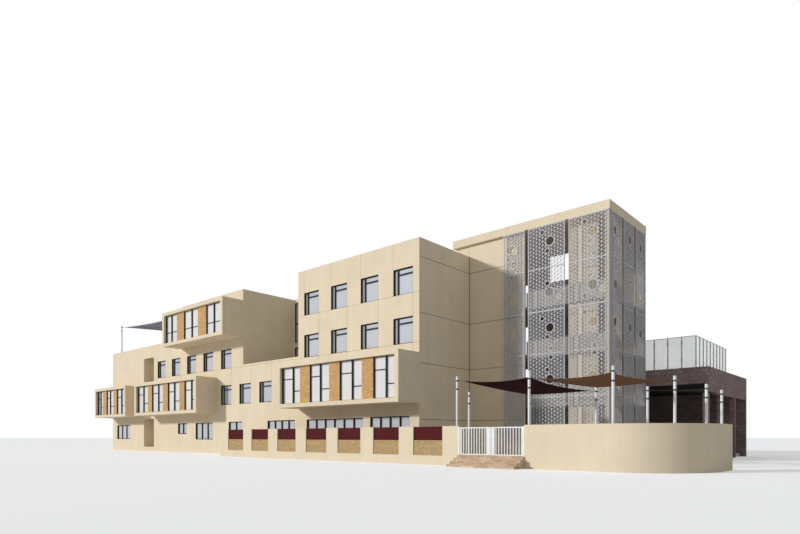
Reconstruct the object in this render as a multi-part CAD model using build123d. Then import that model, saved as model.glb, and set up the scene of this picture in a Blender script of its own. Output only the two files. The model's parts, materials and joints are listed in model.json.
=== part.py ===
from build123d import *
import math
import os

# A four-storey school building at 1:2, with its entrance steps, gate and street wall.
# Every length below is in metres of the real building. U turns it into millimetres of
# the 1:2 model. X runs along the front from left to right, Y goes back, Z goes up.
# X = 0 is the right face of the middle block and Y = 0 the plane of the front walls.
U = 500.0

# Levels
STOREY = 4.0
PLINTH = 0.55                      # ground floor above the paving
SLAB = 0.30
WALL = 0.30
LEVEL = [PLINTH + i * STOREY for i in range(5)]   # ground, 1, 2, 3 and the roof
LINK_UPSTAND = 1.05                # parapets, each above the roof or terrace behind it
WING_UPSTAND = 1.28
TOP_UPSTAND = 1.15
LINK_PARAPET = LEVEL[2] + LINK_UPSTAND
WING_PARAPET = LEVEL[3] + WING_UPSTAND
TOP_PARAPET = LEVEL[4] + TOP_UPSTAND
LAP = 0.02                         # a bay's frame laps over the floor levels
ROOM_DROP = 0.05                   # third-floor room's frame below the roof level

# Plan
WING_LEFT = -57.67
ROOM_LEFT = -37.63                 # left end of the third-floor room
WING_RIGHT = -24.52
BLOCK_LEFT = -15.15
BACK = 14.24
LOBBY_Y = 6.90                     # front of the lobby wall and of the rear rooms
LINK_BACK = 6.80

# Bays that stand forward of the front wall
BAY_OUT = 2.50
BAY_FRAME = 0.35
BAY_SIDE = 0.40
BAY_RECESS = 0.40                  # glazing behind the frame
GLASS = 0.06
PANEL_PROUD = 0.12

# Windows
WIN_W = 2.12
WIN_H = 2.15
WIN_SILL = 0.85                    # above each floor
GLASS_BACK = 0.20                  # face of the wall to face of the glass
BLOCK_WINDOWS = [-13.21, -9.39, -5.54, -1.72]      # middles
WING_WINDOWS = [-42.87, -39.11, -35.36, -31.60, -27.82]
LINK_WINDOWS = [-27.82, -24.16, -20.51]
REAR_PITCH = 3.80
GROUND_SILL = 1.00                 # ground-floor strips, above their floor
GROUND_HEAD = 2.95

# Open niches of the wing
NICHE = (-47.81, -44.98)
NICHE_DEEP = 1.60

# Stair tower
TOWER_RIGHT = 12.64
SCREEN_Y = 6.60
SCREEN_THICK = 0.08
HEADROOM = 2.08                    # main roof to the underside of the tower's roof
FASCIA_H = 0.67
FASCIA_Z = LEVEL[4] + HEADROOM
TOWER_TOP = FASCIA_Z + FASCIA_H
TOWER_LEFT = -1.57
LANDING_Y = 7.40
SCREEN_BASE = 1.60
FRONT_PANELS = [(3.65, 5.62), (5.93, 9.10), (9.43, 12.56)]
SIDE_PANELS = [(7.05, 8.98), (9.45, 11.50), (12.00, 14.16)]
SHAFT = (9.00, 11.34)

# East podium
POD_RIGHT = 17.38
POD_LEFT = 0.0
POD_DEPTH = 13.36
POD_BACK = BACK + POD_DEPTH
POD_SOFFIT = 6.05
POD_SIDE_SOFFIT = 5.31             # the right-hand side's beam is deeper
POD_DECK = POD_SOFFIT + 0.35
POD_TOP = POD_SOFFIT + 1.30
RAIL_H = 3.65
GLASS_RAIL = POD_DECK + RAIL_H
RAIL_PITCH = 1.08
RAIL_FIRST = 0.99
RAIL_POSTS = 14                    # along the front, and one more at the corner
RAIL_SIDE_POSTS = 10
RAIL_BAR = 0.08
RAIL_IN = (1.27, 1.16)             # side and front rail, in from the podium's faces
COLUMN = 0.40
COLUMN_PITCH = 4.40

# Street wall, gate and steps
FENCE_Y = -5.30
FENCE_T = 0.30
FENCE_TOP = 2.55
FENCE_PITCH = 3.80
FENCE_PANEL = 2.50
FENCE_BAYS = 7
FENCE_FIRST = 3.85                 # left edge of the bay nearest the gate
INSET_Z = (0.62, 1.63)
GATE_L = (7.64, -5.28)             # outer faces of the two gate posts
GATE_R = (12.40, -5.28)
GATE_BASE = 0.70
GATE_TOP = 2.45
RISERS = 4
GOING = 0.36
LANDING = 0.23                     # gate to the top riser
STEPS_IN = 0.35                    # steps run on behind the gate
POST = 0.12


def box(x0, x1, y0, y1, z0, z1):
    """A block between six planes."""
    b = Box((x1 - x0) * U, (y1 - y0) * U, (z1 - z0) * U)
    return Pos((x0 + x1) / 2 * U, (y0 + y1) / 2 * U, (z0 + z1) / 2 * U) * b


def cut(solid, holes):
    for hole in holes:
        solid = solid - hole
    return solid


PARTS = {}


def add(name, *solids):
    PARTS[name] = list(solids)


def window_z(level):
    z = LEVEL[level] + WIN_SILL
    return z, z + WIN_H


GLAZING = []                       # panes of all the windows


def front_windows(middles, level, width=WIN_W, y=0.0):
    """Holes through a front wall, and a pane for each."""
    z0, z1 = window_z(level)
    holes = []
    for x in [m - width / 2 for m in middles]:
        holes.append(box(x, x + width, y - 0.5, y + WALL + 0.5, z0, z1))
        GLAZING.append(box(x, x + width, y + GLASS_BACK, y + GLASS_BACK + GLASS, z0, z1))
    return holes


def strip(x0, x1, z0, z1, y=0.0):
    GLAZING.append(box(x0, x1, y + GLASS_BACK, y + GLASS_BACK + GLASS, z0, z1))
    return box(x0, x1, y - 0.5, y + WALL + 0.5, z0, z1)


BAY_Z = (LEVEL[1] - LAP, LEVEL[2] + LAP)
ROOM_Z = (LEVEL[3] - LAP, LEVEL[4] - ROOM_DROP)

# Floors. The third floor and the roof leave the link terrace open to the sky, in
# three slabs with a movement joint between them.
IN_L, IN_R = WING_LEFT + WALL, -WALL
IN_F, IN_B = WALL, BACK - WALL
JOINT = 0.04
add("ground_floor", box(IN_L, IN_R, IN_F, IN_B, 0, LEVEL[0]))
add("first_floor", box(IN_L, IN_R, IN_F, IN_B, LEVEL[1] - SLAB, LEVEL[1]))
add("second_floor", box(IN_L, IN_R, IN_F, IN_B, LEVEL[2] - SLAB, LEVEL[2]))


def three_slabs(left, z):
    return [box(left, WING_RIGHT - WALL, IN_F, IN_B, z - SLAB, z),
            box(WING_RIGHT - WALL + JOINT, BLOCK_LEFT + WALL - JOINT, LINK_BACK + WALL, IN_B,
                z - SLAB, z),
            box(BLOCK_LEFT + WALL, IN_R, IN_F, IN_B, z - SLAB, z)]


add("third_floor", *three_slabs(IN_L, LEVEL[3]))
add("main_roof", *three_slabs(ROOM_LEFT + WALL, LEVEL[4]))

# Front walls
G0, G1 = LEVEL[0] + GROUND_SILL, LEVEL[0] + GROUND_HEAD
ground_holes = [strip(-13.90, -6.32, G0, G1), strip(-5.45, -1.03, G0, G1 + 0.05),
                strip(-20.13, -15.70, G0, G1), strip(-27.32, -24.71, G0, G1),
                strip(-38.62, -36.43, G0 + 0.65, G1), strip(-34.40, -30.60, G0, G1),
                strip(-56.20, -52.00, G0, G1)]
niche_ground = box(NICHE[0], NICHE[1], -0.5, WALL + 0.5, LEVEL[0], LEVEL[1] - SLAB)
add("ground_front_wall",
    cut(box(WING_LEFT, 0, 0, WALL, 0, BAY_Z[0]), ground_holes + [niche_ground]))
GAP = (-47.75, -45.09)             # between the two bays of the wing
add("first_floor_front_wall",
    cut(box(-29.84, BLOCK_LEFT, 0, WALL, BAY_Z[0], BAY_Z[1]), front_windows(LINK_WINDOWS, 1)),
    box(GAP[0], GAP[1], 0, WALL, BAY_Z[0], BAY_Z[1]))
niche_top = box(NICHE[0], NICHE[1], -0.5, WALL + 0.5, LEVEL[2] + 0.57, LEVEL[3] - SLAB)
add("wing_front_wall",
    cut(box(WING_LEFT, WING_RIGHT, 0, WALL, BAY_Z[1], LEVEL[3] - LAP),
        front_windows(WING_WINDOWS, 2) + [niche_top]))
add("front_parapets",
    box(WING_LEFT, ROOM_LEFT, 0, WALL, LEVEL[3] - LAP, WING_PARAPET),
    box(ROOM_LEFT, WING_RIGHT, 0, WALL, ROOM_Z[1], TOP_PARAPET),
    box(WING_RIGHT, BLOCK_LEFT, 0, WALL, BAY_Z[1], LINK_PARAPET))
add("block_front_wall",
    cut(box(BLOCK_LEFT, 0, 0, WALL, BAY_Z[1], TOP_PARAPET),
        front_windows(BLOCK_WINDOWS, 2) + front_windows(BLOCK_WINDOWS, 3)))

# Side walls
add("left_end_wall", box(WING_LEFT, IN_L, WALL, BACK, 0, WING_PARAPET))
add("block_right_wall", box(-WALL, 0, WALL, LOBBY_Y, 0, TOP_PARAPET))
add("upper_side_walls",
    box(ROOM_LEFT, ROOM_LEFT + WALL, WALL, IN_B, LEVEL[3], TOP_PARAPET),
    box(WING_RIGHT - WALL, WING_RIGHT, WALL, LINK_BACK + WALL, LEVEL[2], TOP_PARAPET),
    box(BLOCK_LEFT, BLOCK_LEFT + WALL, WALL, LINK_BACK + WALL, LEVEL[2], TOP_PARAPET))

# Wall behind the link terrace, nearly all glass
LINK_GLASS = (WING_RIGHT + 0.20, BLOCK_LEFT - 0.20)
add("link_rear_wall",
    cut(box(WING_RIGHT, BLOCK_LEFT, LINK_BACK, LINK_BACK + WALL, LEVEL[2], TOP_PARAPET),
        [strip(LINK_GLASS[0], LINK_GLASS[1], LEVEL[2] + 0.15, LEVEL[3] - 0.40, LINK_BACK),
         strip(LINK_GLASS[0], LINK_GLASS[1], LEVEL[3] + 0.15, LEVEL[4] + 0.70, LINK_BACK)]))

# Rear walls, with the front's window on every bay
def rear_windows(x0, x1, levels):
    holes = []
    n = int((x1 - x0 - 1.2) // REAR_PITCH)
    start = (x0 + x1) / 2 - n * REAR_PITCH / 2
    for level in levels:
        z0, z1 = window_z(level)
        for i in range(n):
            x = start + (i + 0.5) * REAR_PITCH - WIN_W / 2
            holes.append(box(x, x + WIN_W, BACK - WALL - 0.5, BACK + 0.5, z0, z1))
            GLAZING.append(box(x, x + WIN_W, BACK - GLASS_BACK - GLASS, BACK - GLASS_BACK,
                               z0, z1))
    return holes


add("rear_walls",
    cut(box(WING_LEFT + WALL, ROOM_LEFT - JOINT, IN_B, BACK, 0, WING_PARAPET),
        rear_windows(WING_LEFT, ROOM_LEFT, [0, 1, 2])),
    cut(box(ROOM_LEFT, 0, IN_B, BACK, 0, TOP_PARAPET),
        rear_windows(ROOM_LEFT, 0, [0, 1, 2, 3])))

# Niches: side walls and a back wall on every storey where they are open
def niche_walls(z0, z1):
    a, b = NICHE
    t = 0.15
    left = box(a - t, a, WALL, NICHE_DEEP, z0, z1)
    right = box(b, b + t, WALL, NICHE_DEEP, z0, z1)
    back = box(a - t, b + t, NICHE_DEEP, NICHE_DEEP + t, z0, z1)
    return left + right + back


add("niche_walls",
    niche_walls(LEVEL[0], LEVEL[1] - SLAB),
    niche_walls(LEVEL[2], LEVEL[3] - SLAB))

# Forward bays: bottom and top slab, side walls, stone-look panels and glass
BAYS = {
    "far": (WING_LEFT, GAP[0], BAY_Z[0], BAY_Z[1],
            [(-57.2, -55.62), (-54.31, -52.09), (-50.98, -48.2)]),
    "left": (GAP[1], -29.84, BAY_Z[0], BAY_Z[1],
             [(-44.69, -41.90), (-40.81, -38.01), (-36.79, -34.05), (-32.88, -30.24)]),
    "middle": (BLOCK_LEFT, 0.0, BAY_Z[0], BAY_Z[1],
               [(-14.75, -12.15), (-10.77, -8.20), (-6.87, -4.23), (-2.94, -0.40)]),
    "room": (ROOM_LEFT, WING_RIGHT, ROOM_Z[0], ROOM_Z[1],
             [(-37.23, -34.63), (-32.99, -29.95), (-28.19, -24.92)]),
}
slabs, sides, panels, panes = [], [], [], []
for x0, x1, z0, z1, lights in BAYS.values():
    slabs.append(box(x0, x1, -BAY_OUT, WALL, z0, z0 + BAY_FRAME))
    slabs.append(box(x0, x1, -BAY_OUT, WALL, z1 - BAY_FRAME, z1))
    a, b = z0 + BAY_FRAME, z1 - BAY_FRAME
    sides.append(box(x0, x0 + BAY_SIDE, -BAY_OUT, WALL, a, b))
    sides.append(box(x1 - BAY_SIDE, x1, -BAY_OUT, WALL, a, b))
    y = -BAY_OUT + BAY_RECESS
    inner0, inner1 = x0 + BAY_SIDE, x1 - BAY_SIDE
    panes.append(box(inner0, inner1, y, y + GLASS, a, b))
    for (l0, l1), (m0, m1) in zip(lights[:-1], lights[1:]):
        panels.append(box(l1, m0, y - PANEL_PROUD, y, a, b))
add("bay_slabs", *slabs)
add("bay_side_walls", *sides)
add("bay_panels", *panels)
add("bay_glass", *panes)

# Stair tower
add("lobby_walls",
    box(0, 5.40, LOBBY_Y, LOBBY_Y + WALL, 0, FASCIA_Z),
    box(TOWER_LEFT + 0.30, -0.02, LOBBY_Y, LOBBY_Y + WALL, LEVEL[4], FASCIA_Z)
    + box(TOWER_LEFT + 0.30, TOWER_LEFT + 0.60, LOBBY_Y, IN_B, LEVEL[4], FASCIA_Z))
tower_rear = box(0, TOWER_RIGHT - SCREEN_THICK - 0.02, IN_B, BACK, 0, FASCIA_Z)
rear_gaps = [box(1.0, 1.85, IN_B - 0.5, BACK + 0.5, LEVEL[i] + 1.10, LEVEL[i] + 3.75)
             for i in (1, 2, 3)]
rear_gaps.append(box(4.0, 6.2, IN_B - 0.5, BACK + 0.5, 16.10, FASCIA_Z - 0.10))
add("tower_rear_wall", cut(tower_rear, rear_gaps))
add("tower_landings",
    *[box(0, TOWER_RIGHT - 0.40, LANDING_Y, IN_B, z - 0.25, z) for z in LEVEL[1:4]])
add("outer_ground_slabs",
    box(0, TOWER_RIGHT - 0.10, LANDING_Y, IN_B, 0, LEVEL[0]),
    box(POD_LEFT, POD_RIGHT - 0.50, BACK, POD_BACK - WALL, 0, 0.30))
add("landing_parapets",
    *[box(5.44, TOWER_RIGHT - 0.40, LANDING_Y - 0.15, LANDING_Y, z - 0.25, z + 1.12)
      for z in LEVEL[1:4]])
COL = 0.30
add("tower_columns",
    *[box(TOWER_RIGHT - 0.36, TOWER_RIGHT - 0.10, y, y + COL, 0, FASCIA_Z)
      for y in (SCREEN_Y + 0.12,)])
add("shaft_wall",
    *[box(SHAFT[0], SHAFT[1], LANDING_Y + 0.10, LANDING_Y + 0.35, z0, z1)
      for z0, z1 in ((LEVEL[0], LEVEL[1] - 0.25), (LEVEL[1], LEVEL[2] - 0.25),
                     (LEVEL[2], LEVEL[3] - 0.25), (LEVEL[3], FASCIA_Z))])
add("tower_roof", box(TOWER_LEFT, TOWER_RIGHT, SCREEN_Y, BACK, FASCIA_Z, TOWER_TOP))

# Perforated screens: round holes here, each (x or y, z, radius) on its panel
FRONT_HOLES = [
    [(4.32, 17.31, .34), (4.32, 13.19, .34), (4.32, 10.45, .34), (4.32, 6.35, .34)],
    [(7.85, 17.30, .34), (7.85, 13.24, .34), (7.85, 10.47, .34), (7.85, 6.40, .34)],
    [(11.35, 17.28, .37), (11.35, 13.26, .37), (11.35, 10.47, .37), (11.35, 6.42, .37)],
]
front_screen = []
for (x0, x1), holes in zip(FRONT_PANELS, FRONT_HOLES):
    p = box(x0, x1, SCREEN_Y, SCREEN_Y + SCREEN_THICK, SCREEN_BASE, FASCIA_Z)
    for x, z, r in holes:
        p = p - Pos(x * U, SCREEN_Y * U, z * U) * Rot(90, 0, 0) * Cylinder(r * U, U)
    front_screen.append(p)
add("front_screens", *front_screen)
add("side_screens",
    *[box(TOWER_RIGHT - SCREEN_THICK, TOWER_RIGHT, y0, y1, SCREEN_BASE, FASCIA_Z)
      for y0, y1 in SIDE_PANELS])

# East podium: an open ground floor under a planted terrace
add("podium_deck", box(POD_LEFT, POD_RIGHT - WALL, BACK + WALL, POD_BACK - WALL,
                       POD_SOFFIT, POD_DECK))
ring = box(POD_LEFT, POD_RIGHT, BACK, POD_BACK, POD_SOFFIT, POD_TOP) \
    - box(POD_LEFT - 1, POD_RIGHT - WALL, BACK + WALL, POD_BACK - WALL, 0, 20)
ring = ring + box(POD_RIGHT - WALL, POD_RIGHT, BACK, POD_BACK - WALL, POD_SIDE_SOFFIT, POD_TOP)
add("podium_fascia", ring)
add("podium_walls",
    box(POD_LEFT - WALL, POD_LEFT, BACK, POD_BACK, 0, POD_TOP),
    box(POD_LEFT + JOINT, POD_RIGHT, POD_BACK - WALL, POD_BACK, 0, POD_SOFFIT))
add("podium_columns",
    *[box(POD_RIGHT - 0.05 - COLUMN, POD_RIGHT - 0.05, y, y + COLUMN, 0, POD_SIDE_SOFFIT)
      for y in (BACK + 0.05, BACK + COLUMN_PITCH, BACK + 2 * COLUMN_PITCH)])
RAIL_X, RAIL_Y = POD_RIGHT - RAIL_IN[0], BACK + RAIL_IN[1]
rail_xs = [RAIL_FIRST + i * RAIL_PITCH for i in range(RAIL_POSTS)]
rail_ys = [RAIL_Y + i * RAIL_PITCH for i in range(RAIL_SIDE_POSTS)]
add("balustrade_posts",
    *[box(x, x + RAIL_BAR, RAIL_Y, RAIL_Y + RAIL_BAR, POD_DECK, GLASS_RAIL) for x in rail_xs],
    *[box(RAIL_X, RAIL_X + RAIL_BAR, y, y + RAIL_BAR, POD_DECK, GLASS_RAIL)
      for y in rail_ys])
PANE_GAP, PANE_DROP = 0.02, 0.05
inner = (RAIL_BAR - 0.04) / 2      # a pane is 0.04 thick, in the middle of its posts
add("balustrade_glass",
    *[box(x + RAIL_BAR + PANE_GAP, x + RAIL_PITCH - PANE_GAP, RAIL_Y + inner,
          RAIL_Y + RAIL_BAR - inner, POD_DECK, GLASS_RAIL - PANE_DROP) for x in rail_xs],
    *[box(RAIL_X + inner, RAIL_X + RAIL_BAR - inner, y + RAIL_BAR + PANE_GAP,
          y + RAIL_PITCH - PANE_GAP, POD_DECK, GLASS_RAIL - PANE_DROP)
      for y in rail_ys[:-1]])

# Street wall: piers and base in one, tan insets and metal panels between the piers
bay_x = [FENCE_FIRST - i * FENCE_PITCH for i in range(FENCE_BAYS)]
fence_right = GATE_L[0]
fence_left = bay_x[-1] - (FENCE_PITCH - FENCE_PANEL)
fence = box(fence_left, fence_right, FENCE_Y, FENCE_Y + FENCE_T, 0, FENCE_TOP)
for x in bay_x:
    fence = fence - box(x, x + FENCE_PANEL, FENCE_Y - 1, FENCE_Y + 1, INSET_Z[0], 9)
add("street_wall", fence)
add("wall_insets",
    *[box(x, x + FENCE_PANEL, FENCE_Y + 0.06, FENCE_Y + 0.24, INSET_Z[0], INSET_Z[1])
      for x in bay_x])
add("wall_panels",
    *[box(x, x + FENCE_PANEL, FENCE_Y + 0.12, FENCE_Y + 0.18, INSET_Z[1], FENCE_TOP - 0.02)
      for x in bay_x])

# Curved wall right of the gate
CURVE_T = 0.25
CURVE_R = 4.50
CURVE = [(GATE_R[0], -5.40), (21.80, -5.40), (21.80, 1.00)]
line = FilletPolyline(*[(x * U, y * U) for x, y in CURVE], radius=CURVE_R * U)
band = make_face(offset(line, amount=CURVE_T * U, side=Side.LEFT, closed=True))
add("entrance_wall", extrude(band, amount=FENCE_TOP * U))

# Gate frame of reference: u along the leaves, n inwards
gx, gy = (GATE_L[0] + GATE_R[0]) / 2, (GATE_L[1] + GATE_R[1]) / 2
GATE_W = math.hypot(GATE_R[0] - GATE_L[0], GATE_R[1] - GATE_L[1])
GATE_ANG = math.degrees(math.atan2(GATE_R[1] - GATE_L[1], GATE_R[0] - GATE_L[0]))


def at_gate(solid):
    return Pos(gx * U, gy * U, 0) * Rot(0, 0, GATE_ANG) * solid


half = GATE_W / 2
steps = None
for i in range(RISERS):
    z0 = 0 if i == 0 else i * GATE_BASE / RISERS
    s = box(-half, half, -LANDING - (RISERS - 1 - i) * GOING, STEPS_IN,
            z0, (i + 1) * GATE_BASE / RISERS)
    steps = s if steps is None else steps + s
for sx in (-half + POST / 2, half - POST / 2):
    steps = steps - box(sx - POST / 2, sx + POST / 2, -POST / 2, POST / 2, -1, 5)
add("entrance_steps", at_gate(steps))
LEAF_GAP = 0.03
BAR = 0.05
BARS = 9
BAR_PITCH = 0.198
BAR_FIRST = 0.398                  # first bar from the middle of the gate
MEETING = 0.055                    # meeting stile
PLATE = 0.22                       # plate beside the meeting stile
STILE = 0.10
SWING_GAP = 0.02                   # leaf above the landing
PIN_X, PIN_Y = 0.05, 0.115         # hinge pin from the post's inner face and centre line
PIN_R = 0.020
PIN_FIT = 0.0002                   # running clearance, 0.1 mm on the model
BARREL_R = 0.040
BARREL_H = 0.12
HINGE_Z = (GATE_BASE + 0.30, GATE_TOP - 0.42)
END_PLAY = 0.0006


def upright(x, y, r, z0, z1):
    return Pos(x * U, y * U, (z0 + z1) / 2 * U) * Cylinder(r * U, (z1 - z0) * U)


def span(a, b, y0, y1, z0, z1):
    return box(min(a, b), max(a, b), y0, y1, z0, z1)


def gate_post(sign):
    """A post with two hinge pins, each held by a lug above and below."""
    face = sign * (half - POST)
    p = span(sign * half, face, -POST / 2, POST / 2, 0, GATE_TOP + 0.03)
    ax = face - sign * PIN_X
    for z in HINGE_Z:
        p = p + upright(ax, PIN_Y, PIN_R, z - 0.03, z + BARREL_H + 0.03)
        for z0, z1 in ((z - 0.03, z - END_PLAY),
                       (z + BARREL_H + END_PLAY, z + BARREL_H + 0.03)):
            p = p + span(face + sign * 0.06, ax - sign * 0.03, POST / 2 - 0.01,
                         PIN_Y + 0.03, z0, z1)
    return at_gate(p)


add("gate_posts", gate_post(-1), gate_post(1))


def leaf(sign):
    """One gate leaf: stiles, rails, meeting plate, upright bars and two hinge barrels."""
    a, b = sign * LEAF_GAP / 2, sign * (half - POST - LEAF_GAP)
    z0, z1 = GATE_BASE + SWING_GAP, GATE_TOP
    g = span(a, b, -0.03, 0.03, z0, z0 + 0.07) + span(a, b, -0.03, 0.03, z1 - 0.07, z1)
    g = g + span(a, a + sign * MEETING, -0.03, 0.03, z0, z1)
    g = g + span(a + sign * 0.01, a + sign * (MEETING + PLATE), -0.01, 0.01,
                 z0 + 0.03, z1 - 0.03)
    g = g + span(b - sign * STILE, b, -0.03, 0.03, z0, z1)
    for i in range(BARS):
        x = sign * (BAR_FIRST + i * BAR_PITCH)
        g = g + box(x - BAR / 2, x + BAR / 2, -0.02, 0.02, z0 + 0.03, z1 - 0.03)
    ax = sign * (half - POST - PIN_X)
    for z in HINGE_Z:
        g = g + upright(ax, PIN_Y, BARREL_R, z, z + BARREL_H)
        g = g + span(ax - sign * 0.045, ax + sign * 0.01, 0.0, PIN_Y, z, z + BARREL_H)
        g = g - upright(ax, PIN_Y, PIN_R + PIN_FIT, z - 0.01, z + BARREL_H + 0.01)
    return at_gate(g)


add("gate_left_leaf", leaf(-1))
add("gate_right_leaf", leaf(1))

# Shade sails on posts. A short steel stay joins each post to its sail's corner.
HIGH, LOW = 6.0, 5.2
SAIL_POSTS = [(5.80, -2.90, HIGH), (11.26, -2.76, HIGH), (16.20, -1.80, HIGH),
              (18.35, 2.45, 5.60), (13.36, 2.50, LOW), (8.00, 3.20, LOW),
              (15.30, 6.70, 5.40), (19.50, 4.96, LOW), (19.03, 10.90, LOW)]
BARE_POSTS = [(4.47, 0.44, LOW)]   # holds no sail that shows
ROOF_POST = (-56.70, 0.85, 17.95)
STAY_R = 0.012
POST_FIT = 0.0008                  # stay's end from the post's face, 0.4 mm on the model
STAY = 0.45                        # from the post's axis to the sail's corner
STAY_END = 0.0010                  # stay's end from the sail, 0.5 mm on the model
SAIL_T = 0.03
POST_R = 0.09


def middle(corners):
    n = len(corners)
    return [sum(c[i] for c in corners) / n for i in range(3)]


def corner(c, m, inset):
    d = math.dist(c, m)
    return [m[i] + (c[i] - m[i]) * (d - inset) / d for i in range(3)]


def sail(corners):
    """A taut sheet: a fan of triangles from its middle, thickened upwards."""
    m = middle(corners)
    rise = Vector(0, 0, SAIL_T * U)
    low = [Vector(*[v * U for v in corner(c, m, STAY)]) for c in corners]
    c0 = Vector(*[v * U for v in m])
    faces = []
    for p, q in zip(low, low[1:] + low[:1]):
        faces.append(Face(Wire.make_polygon([p, q, c0])))
        faces.append(Face(Wire.make_polygon([p + rise, q + rise, c0 + rise])))
        faces.append(Face(Wire.make_polygon([p, q, q + rise, p + rise])))
    return Solid(Shell(faces))


def stay(c, m, on_post=True):
    """A rod from the post's face, or the wall's, to just short of the sail's corner."""
    end = corner(c, m, STAY)
    a = Vector(c[0] * U, c[1] * U, (c[2] + SAIL_T / 2) * U)
    b = Vector(end[0] * U, end[1] * U, (end[2] + SAIL_T / 2) * U)
    along = (b - a).normalized()
    b = b - along * ((STAY_END + SAIL_T / 2 * abs(along.Z)) * U)
    if on_post:
        level = math.hypot(along.X, along.Y)
        a = a + along * ((POST_R + POST_FIT + STAY_R * abs(along.Z)) / level * U)
    return Solid.make_cylinder(STAY_R * U, (b - a).length, Plane(origin=a, z_dir=along))


def hook(post, drop=0.30):
    return (post[0], post[1], post[2] - drop)


pa, pb, pc, pd, pe, pf, pg, ph, pi = SAIL_POSTS
WALL_HOOKS = [(ROOM_LEFT, 0.70, 17.25), (ROOM_LEFT, 9.0, 14.6)]
SAILS = {
    "maroon_sail": [hook(pa), hook(pb), hook(pe), hook(pf)],
    "brown_sail": [hook(pb, 0.50), hook(pc), hook(pd), hook(pe, 0.12)],
    "east_sail": [hook(pg), hook(ph), hook(pi)],
    "roof_sail": [hook(ROOF_POST, 0.25)] + WALL_HOOKS,
}
wall_face = box(ROOM_LEFT, ROOM_LEFT + WALL, 0, BACK, LEVEL[3], TOP_PARAPET)
stays = []
for name, corners in SAILS.items():
    add(name, sail(corners))
    for c in corners:
        rod = stay(c, middle(corners), c not in WALL_HOOKS)
        stays.append(rod - wall_face if c in WALL_HOOKS else rod)
add("sail_stays", *stays)
add("sail_posts",
    *[upright(x, y, POST_R, 0, top) for x, y, top in SAIL_POSTS + BARE_POSTS],
    upright(ROOF_POST[0], ROOF_POST[1], POST_R, LEVEL[3], ROOF_POST[2]))

add("window_glass", *GLAZING)

# The middle of the footprint stands on the origin.
boxes = [s.bounding_box() for solids in PARTS.values() for s in solids]
mid_x = (min(b.min.X for b in boxes) + max(b.max.X for b in boxes)) / 2
mid_y = (min(b.min.Y for b in boxes) + max(b.max.Y for b in boxes)) / 2
os.makedirs("parts", exist_ok=True)
for name, solids in PARTS.items():
    placed = [Pos(-mid_x, -mid_y, 0) * s for s in solids]
    shape = placed[0] if len(placed) == 1 else Compound(children=placed)
    export_step(shape, "parts/" + name + ".step")
print("nodes", len(PARTS), "middle", mid_x, mid_y)
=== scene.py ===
import json
import math

import bmesh
import bpy
from bpy.props import FloatProperty, FloatVectorProperty, PointerProperty
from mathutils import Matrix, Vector


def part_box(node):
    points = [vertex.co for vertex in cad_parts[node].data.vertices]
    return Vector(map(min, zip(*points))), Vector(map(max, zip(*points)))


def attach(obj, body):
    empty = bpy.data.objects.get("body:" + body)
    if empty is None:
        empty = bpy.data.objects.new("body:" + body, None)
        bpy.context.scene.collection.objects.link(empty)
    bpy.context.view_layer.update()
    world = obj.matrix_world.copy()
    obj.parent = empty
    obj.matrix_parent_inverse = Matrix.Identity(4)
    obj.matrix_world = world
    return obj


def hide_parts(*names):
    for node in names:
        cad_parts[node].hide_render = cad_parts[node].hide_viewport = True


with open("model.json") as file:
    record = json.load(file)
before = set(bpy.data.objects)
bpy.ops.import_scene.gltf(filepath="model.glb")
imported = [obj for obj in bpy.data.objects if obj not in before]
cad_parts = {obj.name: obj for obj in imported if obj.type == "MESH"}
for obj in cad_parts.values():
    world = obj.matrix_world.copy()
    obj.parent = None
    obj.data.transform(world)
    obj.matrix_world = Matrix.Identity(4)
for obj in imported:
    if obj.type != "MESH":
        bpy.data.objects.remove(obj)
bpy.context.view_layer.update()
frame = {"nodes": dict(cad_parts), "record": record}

bl_info = {
    "name": "School Building",
    "version": (1, 0, 0),
    "blender": (4, 5, 0),
    "location": "View3D > Sidebar > School",
    "description": "Dresses the packed school building and sets up its camera and light",
    "category": "Object",
}

# The building is described in real metres and stands at 1:2. Its X = 0 is the right face
# of the middle block and its Y = 0 the plane of the front walls.
SCALE = 0.5
_low, _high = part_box("block_front_wall")
ORIGIN = Vector((_high[0], _low[1], 0.0))

STOREY = 4.0
LEVEL = [0.55 + STOREY * i for i in range(5)]
BAY_TOP = LEVEL[2] + 0.03          # just above the forward bays
SILL = 0.85
WINDOW = (2.12, 2.15)
GLASS_BACK = 0.20                  # face of a wall to face of its glass
BACK = 14.24
REAR_PITCH = 3.80
BLOCK_LEFT, WING_LEFT, WING_RIGHT, ROOM_LEFT = -15.15, -57.67, -24.52, -37.63
BLOCK_WINDOWS = (-13.21, -9.39, -5.54, -1.72)
WING_WINDOWS = (-42.87, -39.11, -35.36, -31.60, -27.82)
LINK_WINDOWS = (-27.82, -24.16, -20.51)
TOP_PARAPET, LINK_PARAPET = 17.70, 9.60
NICHE_RIGHT = -44.98
LINK_BACK = 6.80
LOBBY_Y, LOBBY_RIGHT = 6.90, 5.40
LINK_JOINT = 9.38
SIDE_JOINTS = (3.26, 7.74, 11.75, 16.20)
SIDE_JOINT = 0.036

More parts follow.
